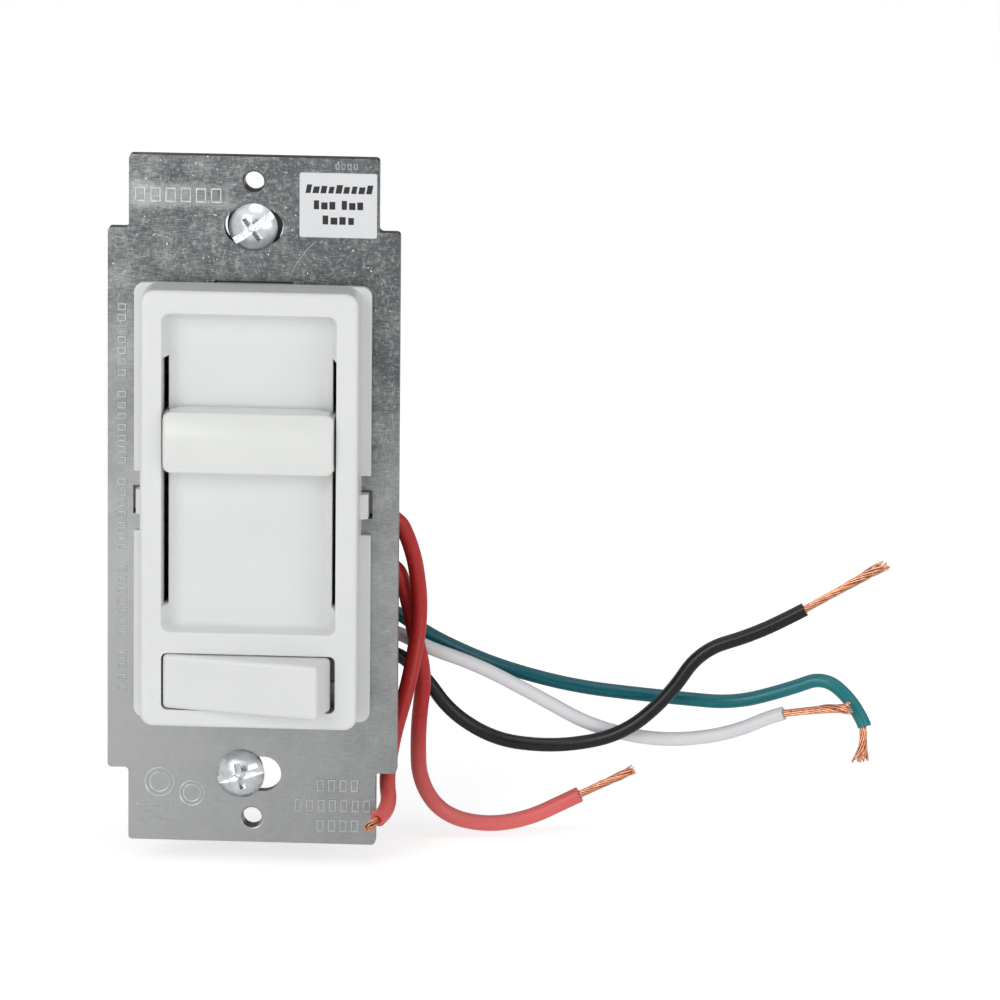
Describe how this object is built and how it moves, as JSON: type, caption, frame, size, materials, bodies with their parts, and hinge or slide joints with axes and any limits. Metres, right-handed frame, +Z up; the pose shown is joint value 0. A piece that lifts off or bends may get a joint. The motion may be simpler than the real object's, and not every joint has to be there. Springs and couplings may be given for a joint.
{
  "type": "slide dimmer switch",
  "caption": "Wall-box dimmer on an aluminium strap, with a wide vertical slide, a small rocker below it, captive mounting screws and colour-coded stripped leads.",
  "frame": {"origin": "middle of the strap's rear face, halfway between the wall-plate holes", "axes": "+Z up, +X to the right seen from the room, -Y out of the wall towards the room"},
  "size_m": [0.116, 0.0417, 0.1073],
  "materials": {
    "strap": "brushed, lightly scratched",
    "white_plastic": "satin white",
    "knob_plastic": "polished white",
    "zinc": "bright zinc",
    "fibre": "red-brown fibre",
    "sticker": "white",
    "black_housing": "black",
    "grey_plastic": "grey",
    "steel": "plain",
    "phenolic": "brown",
    "board": "printed",
    "black_plastic": "moulded",
    "brass": "plain",
    "silver": "silver",
    "ferrite": "powder core",
    "enamelled_wire": "enamelled copper",
    "film": "yellow",
    "resistor": "lacquered",
    "blue_plastic": "blue",
    "glass_bead": "glass",
    "rivet": "plain",
    "copper": "bare copper",
    "red_pvc": "red",
    "green_pvc": "green",
    "white_pvc": "white",
    "black_pvc": "black"
  },
  "bodies": {
    "device": {"mounting_strap": "strap", "bezel": "white_plastic", "potentiometer_case": "steel", "potentiometer_track": "phenolic", "switch_base": "phenolic", "common_terminal": "brass", "fixed_contacts": "silver", "circuit_board": "board", "power_triac": "black_plastic", "triac_pad": "grey_plastic", "triac_rivet": "rivet", "choke_core": "ferrite", "choke_winding": "enamelled_wire", "filter_capacitor": "film", "timing_capacitors": "blue_plastic", "resistors": "resistor", "trigger_diode": "glass_bead", "dim_trimmer": "blue_plastic", "rear_housing": "black_housing", "housing_rivets": "rivet", "rating_label": "sticker", "red_upper_lead_insulation": "red_pvc", "red_lower_lead_insulation": "red_pvc", "green_lead_insulation": "green_pvc", "white_lead_insulation": "white_pvc", "black_lead_insulation": "black_pvc", "red_upper_lead_conductor": "copper", "red_lower_lead_conductor": "copper", "green_lead_conductor": "copper", "white_lead_conductor": "copper", "black_lead_conductor": "copper"},
    "slider": {"slide_knob": "knob_plastic", "slide_carriage": "grey_plastic", "potentiometer_wiper": "black_plastic"},
    "rocker_body": {"rocker": "white_plastic", "rocker_plunger": "grey_plastic", "rocker_spring": "steel"},
    "see_saw": {"contact_arm": "brass"},
    "upper_screw_carrier": {"upper_screw_washer": "fibre"},
    "upper_screw": {"upper_mounting_screw": "zinc"},
    "lower_screw_carrier": {"lower_screw_washer": "fibre"},
    "lower_screw": {"lower_mounting_screw": "zinc"}
  },
  "joints": [
    {"name": "dimmer_slide", "type": "slide", "parent": "device", "child": "slider", "axis": [0, 0, 1], "range_m": [-0.0211, 0.0082]},
    {"name": "rocker_tilt", "type": "hinge", "parent": "device", "child": "rocker_body", "pos_m": [0, -0.0076, -0.02615], "axis": [0, 0, 1], "range_deg": [0, 28]},
    {"name": "contact_tilt", "type": "hinge", "parent": "device", "child": "see_saw", "pos_m": [0, 0.0029, -0.02615], "axis": [0, 0, 1], "range_deg": [-12.05, 0]},
    {"name": "upper_screw_slide", "type": "slide", "parent": "device", "child": "upper_screw_carrier", "axis": [1, 0, 0], "range_m": [-0.0024, 0.0024]},
    {"name": "upper_screw_turn", "type": "hinge", "parent": "upper_screw_carrier", "child": "upper_screw", "pos_m": [0, 0, 0.04167], "axis": [0, -1, 0], "continuous": true},
    {"name": "lower_screw_slide", "type": "slide", "parent": "device", "child": "lower_screw_carrier", "axis": [1, 0, 0], "range_m": [-0.0008, 0.0041]},
    {"name": "lower_screw_turn", "type": "hinge", "parent": "lower_screw_carrier", "child": "lower_screw", "pos_m": [-0.00165, 0, -0.04167], "axis": [0, -1, 0], "continuous": true}
  ],
  "couplings": [
    {"joint": "contact_tilt", "follows": "rocker_tilt", "ratio": -0.42857}
  ]
}
